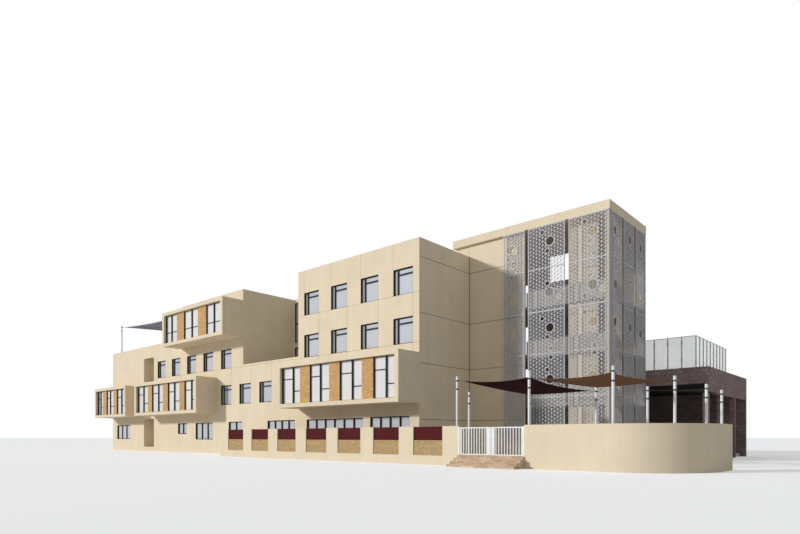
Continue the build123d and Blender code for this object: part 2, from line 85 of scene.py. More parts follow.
# Each forward bay: foot and head of its glass, how far down the cross bars lie as parts of
# that height, left and right of the upright, and each light's ends with its upright.
BAYS = (
    (4.88, 8.22, (0.32, 0.66), ((-57.20, -55.62, -56.41), (-54.31, -52.09, -53.20),
                                (-50.98, -48.20, -49.59))),
    (4.88, 8.22, (0.32, 0.66), ((-44.69, -41.90, -43.13), (-40.81, -38.01, -39.20),
                                (-36.79, -34.05, -35.26), (-32.88, -30.24, -31.36))),
    (4.88, 8.22, (0.32, 0.66), ((-14.75, -12.15, -13.15), (-10.77, -8.20, -9.37),
                                (-6.87, -4.23, -5.36), (-2.94, -0.40, -1.53))),
    (12.88, 16.15, (0.62, 0.62), ((-37.23, -34.63, -35.91), (-32.99, -29.95, -31.29),
                                  (-28.19, -24.92, -26.65))),
)
BAY_GLASS_Y = -2.10

# Strips of ground-floor windows: left, right, foot, head
GROUND_STRIPS = ((-13.90, -6.32, 1.55, 3.50), (-5.45, -1.03, 1.55, 3.55),
                 (-20.13, -15.70, 1.55, 3.50), (-27.32, -24.71, 1.55, 3.50),
                 (-38.62, -36.43, 2.20, 3.50), (-34.40, -30.60, 1.55, 3.50),
                 (-56.20, -52.00, 1.55, 3.50))

# Stair tower. Each screen is its two ends and its round holes as (along, up, radius).
TOWER_RIGHT, SCREEN_Y, SCREEN_BASE, FASCIA_Z = 12.64, 6.60, 1.60, 18.63
SCREEN_THICK, SCREEN_EDGE, HOLE_RIM = 0.08, 0.07, 0.055
SCREEN_JOINTS = (5.00, 8.45, 11.83, 15.23)
FRONT_SCREENS = (
    (3.65, 5.62, ((4.32, 17.31, .34), (4.11, 16.55, .16), (4.43, 15.56, .16), (4.43, 14.98, .16),
                  (4.11, 13.98, .16), (4.32, 13.19, .34), (4.32, 10.45, .34), (4.11, 9.72, .16),
                  (4.43, 8.75, .16), (4.43, 8.16, .16), (4.11, 7.16, .16), (4.32, 6.35, .34))),
    (5.93, 9.10, ((7.19, 18.08, .16), (7.85, 17.30, .34), (7.63, 16.54, .16), (7.63, 13.98, .17),
                  (7.80, 13.24, .34), (7.19, 11.24, .16), (7.85, 10.47, .34), (7.63, 9.73, .16),
                  (7.94, 8.81, .16), (7.94, 8.13, .16), (7.63, 7.16, .16), (7.85, 6.40, .34))),
    (9.43, 12.56, ((10.71, 18.10, .17), (11.35, 17.28, .37), (11.15, 16.54, .17),
                   (11.48, 15.56, .17), (11.48, 14.94, .17), (11.15, 13.98, .17),
                   (11.35, 13.26, .37), (10.71, 12.47, .17), (10.71, 11.24, .17),
                   (11.35, 10.47, .37), (11.15, 9.70, .17), (11.48, 8.72, .17),
                   (11.48, 8.14, .17), (11.15, 7.15, .17), (11.35, 6.42, .37))),
)
SIDE_SCREENS = (
    (7.05, 8.98, ((7.75, 17.30, .34), (7.55, 16.50, .16), (7.75, 13.24, .34), (7.75, 10.45, .34),
                  (7.55, 9.70, .16), (7.55, 7.15, .16), (7.75, 6.40, .34))),
    (9.45, 11.50, ((10.70, 17.30, .34), (10.95, 16.45, .16), (10.95, 15.50, .16),
                   (10.70, 13.98, .16), (10.70, 10.40, .34), (10.95, 9.60, .16),
                   (10.70, 6.40, .34))),
    (12.00, 14.16, ((13.00, 17.20, .34), (13.10, 16.40, .16), (13.10, 14.20, .16),
                    (13.00, 13.30, .34), (13.00, 10.20, .34), (13.10, 7.10, .16),
                    (13.00, 6.40, .34))),
)

LANDING_HEAD = 1.12                # top of a landing's parapet above its floor
HANDRAIL_Y = 7.325

# East podium
RAIL_X, RAIL_Y, RAIL_Z, DECK_Z = 16.11, 15.40, 10.05, 6.40
RAIL_PITCH, RAIL_BAR = 1.08, 0.08
RAIL_XS = [0.99 + RAIL_PITCH * i for i in range(14)]
RAIL_YS = [RAIL_Y + RAIL_PITCH * i for i in range(10)]

# Street wall
FENCE_Y, FENCE_PANEL = -5.30, 2.50
SEAM_Z = (1.63, 2.53)
FENCE_BAYS = [3.85 - 3.80 * i for i in range(7)]

# Shade sails: posts as (x, y, height), and each sail's corners as (x, y, z)
POST_R = 0.09
STAY = 0.45                        # post to the corner of its sail
CLOTH_RISE = Vector((0, 0, 0.015))
POSTS = ((5.80, -2.90, 6.0), (11.26, -2.76, 6.0), (16.20, -1.80, 6.0), (18.35, 2.45, 5.60),
         (13.36, 2.50, 5.2), (8.00, 3.20, 5.2), (15.30, 6.70, 5.40), (19.50, 4.96, 5.2),
         (19.03, 10.90, 5.2), (4.47, 0.44, 5.2), (-56.70, 0.85, 17.95))
SAILS = {
    "maroon_sail": ((5.80, -2.90, 5.70), (11.26, -2.76, 5.70), (13.36, 2.50, 4.90),
                    (8.00, 3.20, 4.90)),
    "brown_sail": ((11.26, -2.76, 5.50), (16.20, -1.80, 5.70), (18.35, 2.45, 5.30),
                   (13.36, 2.50, 5.08)),
    "east_sail": ((15.30, 6.70, 5.10), (19.50, 4.96, 4.90), (19.03, 10.90, 4.90)),
    "roof_sail": ((-56.70, 0.85, 17.70), (ROOM_LEFT, 0.70, 17.25), (ROOM_LEFT, 9.0, 14.6)),
}


class SchoolSizes(bpy.types.PropertyGroup):
    """Sizes of the added pieces, in metres of the real building"""
    lining: FloatProperty(
        name="Reveal lining", description="Thickness of the black lining of a window's reveal",
        default=0.025, min=0.005, max=0.1, unit="LENGTH")
    bar_width: FloatProperty(
        name="Bar width", description="Width of an upright window bar",
        default=0.09, min=0.02, max=0.3, unit="LENGTH")
    bar_depth: FloatProperty(
        name="Bar depth", description="How far a window bar stands in front of the glass",
        default=0.12, min=0.02, max=0.19, unit="LENGTH")
    joint: FloatProperty(
        name="Joint width", description="Width of the joints between the wall panels",
        default=0.024, min=0.01, max=0.1, unit="LENGTH")
    lattice_pitch: FloatProperty(
        name="Lattice pitch", description="Distance between the crossings of a screen's lattice",
        default=0.30, min=0.1, max=1.0, unit="LENGTH")
    lattice_bar: FloatProperty(
        name="Lattice bar", description="Width of the bars that are left between the perforations",
        default=0.034, min=0.01, max=0.2, unit="LENGTH")
    rib_pitch: FloatProperty(
        name="Seam pitch", description="Distance between the seams of the street wall's panels",
        default=0.30, min=0.1, max=1.2, unit="LENGTH")
    edge_dip: FloatProperty(
        name="Edge dip", description="How deep a sail's edge curves in, as a part of its width",
        default=0.06, min=0.0, max=0.2, subtype="FACTOR")
    edge_sag: FloatProperty(
        name="Edge sag", description="How far a sail's edge hangs, as a part of its length",
        default=0.022, min=0.0, max=0.1, subtype="FACTOR")


class SchoolColours(bpy.types.PropertyGroup):
    """Colours of the finishes"""
    render: FloatVectorProperty(
        name="Render", description="Cream render of the walls",
        default=(0.76, 0.645, 0.47), size=3, min=0.0, max=1.0, subtype="COLOR")
    frames: FloatVectorProperty(
        name="Frames", description="Black paint of the window frames",
        default=(0.022, 0.024, 0.028), size=3, min=0.0, max=1.0, subtype="COLOR")
    # The pale colours of the panes and bay panes are a painted reflection of a bright sky.
    panes: FloatVectorProperty(
        name="Panes", description="Pale square windows' glass, as painted sky reflection",
        default=(0.53, 0.545, 0.575), size=3, min=0.0, max=1.0, subtype="COLOR")
    bay_panes: FloatVectorProperty(
        name="Bay panes", description="Pale glass of the forward bays, as painted sky reflection",
        default=(0.73, 0.71, 0.69), size=3, min=0.0, max=1.0, subtype="COLOR")
    tan_stone: FloatVectorProperty(
        name="Tan stone", description="Split stone between the lights of the bays",
        default=(0.80, 0.49, 0.215), size=3, min=0.0, max=1.0, subtype="COLOR")
    golden_stone: FloatVectorProperty(
        name="Golden stone", description="Split stone at the foot of the street wall's panels",
        default=(0.60, 0.42, 0.21), size=3, min=0.0, max=1.0, subtype="COLOR")
    brown_stone: FloatVectorProperty(
        name="Brown stone", description="Stone blocks of the podium",
        default=(0.36, 0.27, 0.25), size=3, min=0.0, max=1.0, subtype="COLOR")
    # The screens' pale paint carries a blue tint that is painted sky light.
    screens: FloatVectorProperty(
        name="Screens", description="Paint of the perforated sheets",
        default=(0.55, 0.54, 0.57), size=3, min=0.0, max=1.0, subtype="COLOR")
    burgundy: FloatVectorProperty(
        name="Burgundy", description="Paint of the street wall's panels",
        default=(0.088, 0.012, 0.014), size=3, min=0.0, max=1.0, subtype="COLOR")
    maroon: FloatVectorProperty(
        name="Maroon cloth", description="Cloth of the left-hand sail at the entrance",
        default=(0.050, 0.016, 0.019), size=3, min=0.0, max=1.0, subtype="COLOR")
    brown: FloatVectorProperty(
        name="Brown cloth", description="Cloth of the right-hand sail at the entrance",
        default=(0.26, 0.14, 0.078), size=3, min=0.0, max=1.0, subtype="COLOR")


# Shapes

def real(x, y, z):
    """A point of the real building, in the model's frame."""
    return (ORIGIN.x + x * SCALE, ORIGIN.y + y * SCALE, z * SCALE)


def front(face):
    """A wall that faces the street: along it, into it, up."""
    return lambda u, d, v: (u, face + d, v)


def rear(face):
    return lambda u, d, v: (-u, face - d, v)


def right(face):
    return lambda u, d, v: (face - d, u, v)


class Shape:
    """Faces gathered for one piece, with its points in real metres."""

    def __init__(self):
        self.points = []
        self.faces = []
        self.smooth = []

    def add(self, points, faces, smooth=False):
        base = len(self.points)
        self.points += [real(*p) for p in points]
        self.faces += [[base + i for i in f] for f in faces]
        self.smooth += [smooth] * len(faces)

    def prism(self, place, outline, d0, d1):
        """A flat outline in a wall's plane, made solid between two depths."""
        n = len(outline)
        points = [place(u, d, v) for d in (d0, d1) for u, v in outline]
        sides = [(i, (i + 1) % n, n + (i + 1) % n, n + i) for i in range(n)]
        self.add(points, sides + [tuple(range(n))[::-1], tuple(range(n, 2 * n))])

    def block(self, place, u0, u1, d0, d1, v0, v1):
        self.prism(place, ((u0, v0), (u1, v0), (u1, v1), (u0, v1)), d0, d1)

    def bar(self, place, a, b, width, d0, d1):
        """A straight flat bar between two points of a wall's plane."""
        along = Vector((b[0] - a[0], b[1] - a[1]))
        if along.length < 0.02:
            return
        side = Vector((-along.y, along.x)).normalized() * width / 2
        self.prism(place, ((a[0] - side.x, a[1] - side.y), (b[0] - side.x, b[1] - side.y),
                           (b[0] + side.x, b[1] + side.y), (a[0] + side.x, a[1] + side.y)),
                   d0, d1)

    def hoop(self, place, u, v, inner, outer, d0, d1, sides=28):
        """A flat ring round a hole."""
        turn = [2 * math.pi * i / sides for i in range(sides)]
        points = [place(u + r * math.cos(a), d, v + r * math.sin(a))
                  for r, d in ((inner, d0), (outer, d0), (outer, d1), (inner, d1)) for a in turn]
        faces = [(k * sides + i, k * sides + (i + 1) % sides,
                  (k + 1) % 4 * sides + (i + 1) % sides, (k + 1) % 4 * sides + i)
                 for k in range(4) for i in range(sides)]
        self.add(points, faces)

    def lathe(self, base, axis, profile, sides=20):
        """A turned form: (distance along the axis, radius) pairs, closed at its ends."""
        axis = Vector(axis).normalized()
        across = axis.orthogonal().normalized()
        other = axis.cross(across)
        base = Vector(base)
        n = len(profile)
        points = [base + axis * h + (across * math.cos(t) + other * math.sin(t)) * r
                  for h, r in profile for t in (2 * math.pi * i / sides for i in range(sides))]
        walls = [(k * sides + i, k * sides + (i + 1) % sides,
                  (k + 1) * sides + (i + 1) % sides, (k + 1) * sides + i)
                 for k in range(n - 1) for i in range(sides)]
        self.add(points, walls, True)
        self.add(points[:sides], [tuple(range(sides))[::-1]])
        self.add(points[-sides:], [tuple(range(sides))])

    def rod(self, a, b, radius, sides=12):
        along = Vector(b) - Vector(a)
        self.lathe(a, along, ((0, radius), (along.length, radius)), sides)

    def ring(self, centre, axis, radius, thick):
        """A round ring of bar, like a sail's corner ring."""
        around, across = 20, 8
        axis = Vector(axis).normalized()
        one = axis.orthogonal().normalized()
        two = axis.cross(one)
        points, faces = [], []
        for i in range(around):
            t = 2 * math.pi * i / around
            out = one * math.cos(t) + two * math.sin(t)
            for j in range(across):
                s = 2 * math.pi * j / across
                points.append(Vector(centre) + out * (radius + thick * math.cos(s))
                              + axis * thick * math.sin(s))
                faces.append((i * across + j, (i + 1) % around * across + j,
                              (i + 1) % around * across + (j + 1) % across,
                              i * across + (j + 1) % across))
        self.add(points, faces, True)

    def piece(self, name, finish, soften=0.0):
        """The finished object, riding on the building. soften rounds its edges a little."""
        if not self.faces:
            raise RuntimeError(name + " has no faces")
        mesh = bpy.data.meshes.new(name)
        mesh.from_pydata(self.points, [], self.faces)
        mesh.polygons.foreach_set("use_smooth", self.smooth)
        work = bmesh.new()
        work.from_mesh(mesh)
        bmesh.ops.recalc_face_normals(work, faces=work.faces)
        work.to_mesh(mesh)
        work.free()
        obj = bpy.data.objects.new(name, mesh)
        bpy.context.scene.collection.objects.link(obj)
        mesh.materials.append(finish)
        if soften:
            bevel = obj.modifiers.new("softened edges", "BEVEL")
            bevel.width = soften
            bevel.segments = 1
            bevel.limit_method = "ANGLE"
        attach(obj, "root")
        return obj


# Finishes

def add_node(tree, kind, links=None, values=None, **settings):
    """A node with its settings, the inputs that are set and those that are linked."""
    made = tree.nodes.new(kind)
    for key, value in settings.items():
        setattr(made, key, value)
    for key, value in (values or {}).items():
        made.inputs[key].default_value = value
    for key, source in (links or {}).items():
        tree.links.new(source, made.inputs[key])
    return made


class Finish:
    """A material built from nodes, on the object's own coordinates."""

    def __init__(self, name, roughness):
        self.material = bpy.data.materials.new(name)
        self.material.use_nodes = True
        self.tree = self.material.node_tree
        self.shader = self.tree.nodes["Principled BSDF"]
        self.shader.inputs["Roughness"].default_value = roughness
        self.place = self.node("ShaderNodeTexCoord").outputs["Object"]

    def node(self, kind, links=None, values=None, **settings):
        return add_node(self.tree, kind, links, values, **settings)

    def stretched(self, x, y, z):
        """The object's coordinates, stretched along each axis."""
        return self.node("ShaderNodeMapping", {"Vector": self.place},
                         {"Scale": (x, y, z)}).outputs["Vector"]

    def total(self, a, b):
        return self.node("ShaderNodeMath", {0: a, 1: b}, operation="ADD").outputs[0]

    def courses(self, treads):
        """Coordinates for coursed stone on upright faces. treads carries it over steps."""
        parts = self.node("ShaderNodeSeparateXYZ", {"Vector": self.place}).outputs
        if treads:
            along, up = parts["X"], self.total(parts["Z"], parts["Y"])
        else:
            along, up = self.total(parts["X"], parts["Y"]), parts["Z"]
        return self.node("ShaderNodeCombineXYZ", {"X": along, "Y": up}).outputs[0]

    def noise(self, scale, detail=3.0, place=None):
        return self.node("ShaderNodeTexNoise", {"Vector": place or self.place},
                         {"Scale": scale, "Detail": detail, "Roughness": 0.55}).outputs[0]

    def ramp(self, source, low, high, start=0.3, end=0.7):
        made = self.node("ShaderNodeValToRGB", {"Fac": source})
        ends = made.color_ramp.elements
        ends[0].position, ends[0].color = start, (*low, 1)
        ends[1].position, ends[1].color = end, (*high, 1)
        return made.outputs["Color"]

    def darkened(self, tone, by, amount=1.0):
        """One colour multiplied by another. The Mix node's colour sockets are 6 and 7."""
        return self.node("ShaderNodeMix", {6: tone, 7: by}, {0: amount}, data_type="RGBA",
                         blend_type="MULTIPLY").outputs[2]

    def colour(self, source):
        self.tree.links.new(source, self.shader.inputs["Base Color"])

    def roughness(self, source, low, high):
        made = self.node("ShaderNodeMapRange", {"Value": source},
                         {"To Min": low, "To Max": high})
        self.tree.links.new(made.outputs["Result"], self.shader.inputs["Roughness"])

    def relief(self, *layers):
        """Bumps as (height, strength, distance), one on the other."""
        normal = None
        for height, strength, distance in layers:
            links = {"Height": height}
            if normal:
                links["Normal"] = normal
            normal = self.node("ShaderNodeBump", links,
                               {"Strength": strength, "Distance": distance}).outputs[0]
        self.tree.links.new(normal, self.shader.inputs["Normal"])

    def gloss(self, specular, coat=0.0, coat_roughness=0.1):
        self.shader.inputs["Specular IOR Level"].default_value = specular
        self.shader.inputs["Coat Weight"].default_value = coat
        self.shader.inputs["Coat Roughness"].default_value = coat_roughness


def shade(colour, by):
    """A colour made lighter or darker."""
    return tuple(min(1.0, c * by) for c in colour)


def plaster(name, colour):
    """Fine-grained render with faint mottling and weather streaks."""
    f = Finish(name, 0.88)
    mottle = f.ramp(f.noise(0.9, 5.0), shade(colour, 0.955), shade(colour, 1.03))
    streaks = f.ramp(f.noise(1.6, 4.0, f.stretched(2.2, 2.2, 0.10)),
                     (0.955, 0.95, 0.94), (1, 1, 1), 0.34, 0.56)
    f.colour(f.darkened(mottle, streaks, 0.8))
    f.roughness(f.noise(7.0), 0.82, 0.93)
    f.relief((f.noise(38.0, 4.0), 0.16, 0.004), (f.noise(150.0, 2.0), 0.14, 0.0012))
    f.gloss(0.3)
    return f.material


def concrete(name, colour):
    """Cloudy concrete with fine dark specks."""
    f = Finish(name, 0.85)
    clouds = f.ramp(f.noise(0.7, 6.0), shade(colour, 0.88), shade(colour, 1.08))
    specks = f.ramp(f.noise(55.0, 2.0), (0.93, 0.93, 0.93), (1, 1, 1), 0.35, 0.5)
    f.colour(f.darkened(clouds, specks))
    f.roughness(f.noise(4.0), 0.75, 0.92)
    f.relief((f.noise(14.0, 5.0), 0.25, 0.003),)
    f.gloss(0.3)
    return f.material


def stone(name, one, two, mortar, width, height, gap, treads=False, rugged=0.006):
    """Coursed stone: each stone its own tint, rough faces, sunk joints."""
    f = Finish(name, 0.9)
    where = f.courses(treads)
    bricks = f.node("ShaderNodeTexBrick", {"Vector": where},
                    {"Color1": (*one, 1), "Color2": (*two, 1), "Mortar": (*mortar, 1),
                     "Scale": 1.0, "Mortar Size": gap, "Mortar Smooth": 0.3, "Bias": 0.0,
                     "Brick Width": width, "Row Height": height}, offset=0.43)
    tone = f.ramp(f.noise(9.0, 5.0), (0.80, 0.79, 0.78), (1, 1, 1), 0.30, 0.66)
    f.colour(f.darkened(bricks.outputs["Color"], tone))
    f.roughness(f.noise(18.0), 0.78, 0.95)
    sunk = f.node("ShaderNodeMath", {1: bricks.outputs["Fac"]}, {0: 1.0}, operation="SUBTRACT")
    f.relief((sunk.outputs[0], 0.9, rugged), (f.noise(26.0, 6.0), 0.7, rugged))
    f.gloss(0.1)
    return f.material


def paint(name, colour, roughness=0.4, coat=0.2, specular=0.5):
    """Powder-coated metal with a fine orange peel and a little dust."""
    f = Finish(name, roughness)
    f.colour(f.ramp(f.noise(3.0, 4.0), shade(colour, 0.92), shade(colour, 1.05)))
    f.roughness(f.noise(12.0), roughness - 0.07, roughness + 0.10)
    f.relief((f.noise(260.0, 1.0), 0.12, 0.0004),)
    f.gloss(specular, coat, 0.15)
    return f.material


def pane(name, colour):
    """Window glass whose pale colour, with its broad patches, is a painted reflection of a bright
    sky.
    """
    f = Finish(name, 0.42)
    f.colour(f.ramp(f.noise(0.22, 2.0), shade(colour, 0.94), shade(colour, 1.05)))
    f.relief((f.noise(1.4, 1.0), 0.05, 0.004),)
    f.gloss(0.06)
    return f.material


def clear_glass(name):
    """Balustrade glass, faintly green, with a trace of dust."""
    f = Finish(name, 0.05)
    f.colour(f.ramp(f.noise(1.1, 3.0), (0.78, 0.85, 0.86), (0.90, 0.93, 0.93)))
    f.shader.inputs["Alpha"].default_value = 0.34
    f.relief((f.noise(0.8, 1.0), 0.04, 0.004),)
    f.gloss(0.5, 0.3, 0.03)
    return f.material


def cloth(name, colour):
    """Knitted shade cloth: two crossed sets of threads and sun-faded patches."""
    threads = 70.0
    f = Finish(name, 0.85)
    fade = f.ramp(f.noise(0.6, 3.0), shade(colour, 0.86), shade(colour, 1.16))
    warp = f.node("ShaderNodeTexWave", {"Vector": f.place},
                  {"Scale": threads, "Distortion": 0.6}, bands_direction="X").outputs["Fac"]
    weft = f.node("ShaderNodeTexWave", {"Vector": f.place},
                  {"Scale": threads * 0.8, "Distortion": 0.6},
                  bands_direction="Y").outputs["Fac"]
    weave = f.node("ShaderNodeMath", {0: warp, 1: weft}, operation="MAXIMUM").outputs[0]
    tint = f.ramp(weave, (0.72, 0.72, 0.72), (1, 1, 1), 0.2, 0.8)
    f.colour(f.darkened(fade, tint, 0.8))
    f.relief((weave, 0.4, 0.0015),)
    f.gloss(0.03)
    return f.material


FINISHES = {}

# Pieces whose finish isn't the one that their slot is named for
OWN_FINISH = {"wall_insets": "inset", "balustrade_glass": "clear", "balustrade_posts": "rail",
              "bay_glass": "bay_glass", "sail_stays": "fittings",
              # The podium deck's near-black finish and the landing parapets' grey render are
              # painted shade.
              "podium_deck": "dark_soffit", "landing_parapets": "landing"}


def make_finishes(colours):
    c = {k: tuple(getattr(colours, k)) for k in SchoolColours.__annotations__}
    FINISHES.update(
        render=plaster("cream render", c["render"]),
        inset=stone("golden split stone", c["golden_stone"], shade(c["golden_stone"], 0.82),
                    shade(c["golden_stone"], 0.66), 0.19, 0.045, 0.0025),
        concrete=concrete("concrete", (0.55, 0.53, 0.50)),
        tan_stone=stone("tan split stone", c["tan_stone"], shade(c["tan_stone"], 0.80),
                        shade(c["tan_stone"], 0.62), 0.21, 0.042, 0.0025),
        brown_stone=stone("brown stone blocks", c["brown_stone"], shade(c["brown_stone"], 0.72),
                          shade(c["brown_stone"], 0.50), 0.30, 0.15, 0.006),
        # Grey render of the landings' parapets: the cream render darkened as painted shade inside
        # the tower.
        landing=plaster("grey render", (0.48, 0.45, 0.38)),
        # Near-black deck of the podium: painted shade under the podium.
        dark_soffit=concrete("dark soffit paint", (0.030, 0.028, 0.026)),
        step_stone=stone("pale step stone", (0.56, 0.405, 0.265), (0.79, 0.62, 0.44),
                         (0.38, 0.28, 0.20), 0.24, 0.0875, 0.004, True, 0.003),
        # Both glass finishes are pale as a painted sky reflection.
        glass=pane("filmed window glass", c["panes"]),
        bay_glass=pane("pale bay glass", c["bay_panes"]),
        clear=clear_glass("balustrade glass"),
        # Pale screen paint, tinted blue as painted sky light.
        screen=paint("pale screen paint", c["screens"], 0.6, 0.0, 0.25),
        burgundy_metal=paint("burgundy paint", c["burgundy"], 0.5, 0.0, 0.04),
        white_metal=paint("white paint", (0.80, 0.80, 0.80), 0.38),
        frames=paint("black frame paint", c["frames"], 0.5, 0.0, 0.08),
        # One dark filler fills all joints; the front joints' filler is lightened as painted
        # sunlight, the side joints' filler darkened as painted shade.
        sealant=paint("joint filler", (0.36, 0.30, 0.22), 0.8, 0.0, 0.1),
        dark_sealant=paint("dark joint filler", (0.09, 0.075, 0.06), 0.8, 0.0, 0.1),
        fittings=paint("dark steel fittings", (0.035, 0.036, 0.040), 0.35),
        rail=paint("grey rail paint", (0.46, 0.48, 0.50), 0.4),
        maroon_cloth=cloth("maroon shade cloth", c["maroon"]),
        brown_cloth=cloth("brown shade cloth", c["brown"]),
        grey_cloth=cloth("grey shade cloth", (0.46, 0.46, 0.55)),
        # The east sail's grey cloth, darkened to near black as painted shade.
        dark_cloth=cloth("dark shade cloth", (0.045, 0.043, 0.040)),
    )


class SCHOOL_OT_finishes(bpy.types.Operator):
    """Make the finishes and lay them on the walls, floors, stone, glass and steel"""
    bl_idname = "school.finishes"
    bl_label = "Finishes"

    def execute(self, context):
        make_finishes(context.scene.school_colours)
        for part in frame["record"]["subparts"]:
            node = part["node"]
            finish = FINISHES[OWN_FINISH.get(node, part["material_slot"])]
            obj = frame["nodes"][node]
            if not obj.material_slots:
                obj.data.materials.append(finish)
            for place in obj.material_slots:
                place.material = finish
        return {"FINISHED"}


# Windows

def lining(shape, place, u0, u1, v0, v1, sizes):
    """Black lining of a reveal, and a thin bar at the glass's top and bottom."""
    t, g, lip = sizes.lining, GLASS_BACK, 0.008
    shape.block(place, u0, u0 + t, lip, g, v0, v1)
    shape.block(place, u1 - t, u1, lip, g, v0, v1)
    a, b, bar = u0 + t, u1 - t, 0.045
    shape.block(place, a, b, lip, g, v0, v0 + t)
    shape.block(place, a, b, lip, g, v1 - t, v1)
    shape.block(place, a, b, g - 0.05, g, v0 + t, v0 + t + bar)
    shape.block(place, a, b, g - 0.05, g, v1 - t - bar, v1 - t)


def square_window(shape, place, middle, level, sizes):
    """A narrow light at the left, and a wide one with a short light above it."""
    u0, u1 = middle - WINDOW[0] / 2, middle + WINDOW[0] / 2
    v0 = LEVEL[level] + SILL
    v1 = v0 + WINDOW[1]
    lining(shape, place, u0, u1, v0, v1, sizes)
    front_of, g = GLASS_BACK - sizes.bar_depth, GLASS_BACK
    post = u0 + 0.375
    shape.block(place, post, post + sizes.bar_width, front_of, g, v0 + 0.025, v1 - 0.025)
    v = v1 - 0.22 * WINDOW[1]
    shape.block(place, post + sizes.bar_width, u1 - 0.025, front_of + 0.01, g,
                v - 0.05, v + 0.05)


class SCHOOL_OT_window_frames(bpy.types.Operator):
    """Black frames of the square windows, front and rear"""
    bl_idname = "school.window_frames"
    bl_label = "Window frames"

    def execute(self, context):
        sizes = context.scene.school_sizes
        shape = Shape()
        for middles, level in ((BLOCK_WINDOWS, 2), (BLOCK_WINDOWS, 3), (WING_WINDOWS, 2),
                               (LINK_WINDOWS, 1)):
            for m in middles:
                square_window(shape, front(0.0), m, level, sizes)
        shape.piece("window_frames", FINISHES["frames"], soften=0.003)
        shape = Shape()
        for x0, x1, levels in ((WING_LEFT, ROOM_LEFT, (0, 1, 2)), (ROOM_LEFT, 0.0, (0, 1, 2, 3))):
            n = int((x1 - x0 - 1.2) // REAR_PITCH)
            first = (x0 + x1) / 2 - n * REAR_PITCH / 2
            for level in levels:
                for i in range(n):
                    middle = first + (i + 0.5) * REAR_PITCH
                    square_window(shape, rear(BACK), -middle, level, sizes)
        shape.piece("rear_window_frames", FINISHES["frames"])
        return {"FINISHED"}


class SCHOOL_OT_ground_frames(bpy.types.Operator):
    """Black frames of the ground-floor strips and of the glass walls on the terrace"""
    bl_idname = "school.ground_frames"
    bl_label = "Ground and terrace frames"

    def execute(self, context):
        sizes = context.scene.school_sizes
        shape = Shape()
        for u0, u1, v0, v1 in GROUND_STRIPS:
            self.strip(shape, front(0.0), u0, u1, v0, v1, 1.25, sizes)
        shape.piece("ground_frames", FINISHES["frames"], soften=0.003)
        shape = Shape()
        for v0, v1 in ((LEVEL[2] + 0.15, LEVEL[3] - 0.40), (LEVEL[3] + 0.15, LEVEL[4] + 0.70)):
            self.strip(shape, front(LINK_BACK), WING_RIGHT + 0.20, BLOCK_LEFT - 0.20, v0, v1,
                       1.50, sizes)
        shape.piece("terrace_frames", FINISHES["frames"], soften=0.003)
        return {"FINISHED"}

    def strip(self, shape, place, u0, u1, v0, v1, pitch, sizes):
        """A row of lights, with a cross bar where they are taller than a door."""
        lining(shape, place, u0, u1, v0, v1, sizes)
        n = max(2, round((u1 - u0) / pitch))
        step = (u1 - u0) / n
        half = sizes.bar_width / 2
        for i in range(1, n):
            u = u0 + i * step
            shape.block(place, u - half, u + half, GLASS_BACK - sizes.bar_depth, GLASS_BACK,
                        v0 + 0.025, v1 - 0.025)
        if v1 - v0 > 3.0:
            v = v0 + 2.2
            for i in range(n):
                shape.block(place, u0 + i * step + half, u0 + (i + 1) * step - half,
                            GLASS_BACK - sizes.bar_depth + 0.01, GLASS_BACK, v - 0.04, v + 0.04)


class SCHOOL_OT_bay_frames(bpy.types.Operator):
    """Black frames of the tall lights in the forward bays"""
    bl_idname = "school.bay_frames"
    bl_label = "Bay frames"

    def execute(self, context):
        sizes = context.scene.school_sizes
        shape = Shape()
        place = front(BAY_GLASS_Y)
        for v0, v1, (left_bar, right_bar), lights in BAYS:
            tall = v1 - v0
            for u0, u1, post in lights:
                half = sizes.bar_width / 2 + 0.01
                shape.block(place, u0, u0 + 0.10, -0.135, 0, v0, v1)
                shape.block(place, u1 - 0.03, u1, -0.06, 0, v0, v1)
                shape.block(place, post - half, post + half, -0.13, 0, v0, v1)
                for a, b, down in ((u0 + 0.10, post - half, left_bar),
                                   (post + half, u1 - 0.03, right_bar)):
                    v = v1 - down * tall
                    shape.block(place, a, b, -0.05, 0, v0, v0 + 0.05)
                    shape.block(place, a, b, -0.05, 0, v1 - 0.05, v1)
                    shape.block(place, a, b, -0.06, 0, v - 0.035, v + 0.035)
        shape.piece("bay_frames", FINISHES["frames"], soften=0.003)
        return {"FINISHED"}


# Walls

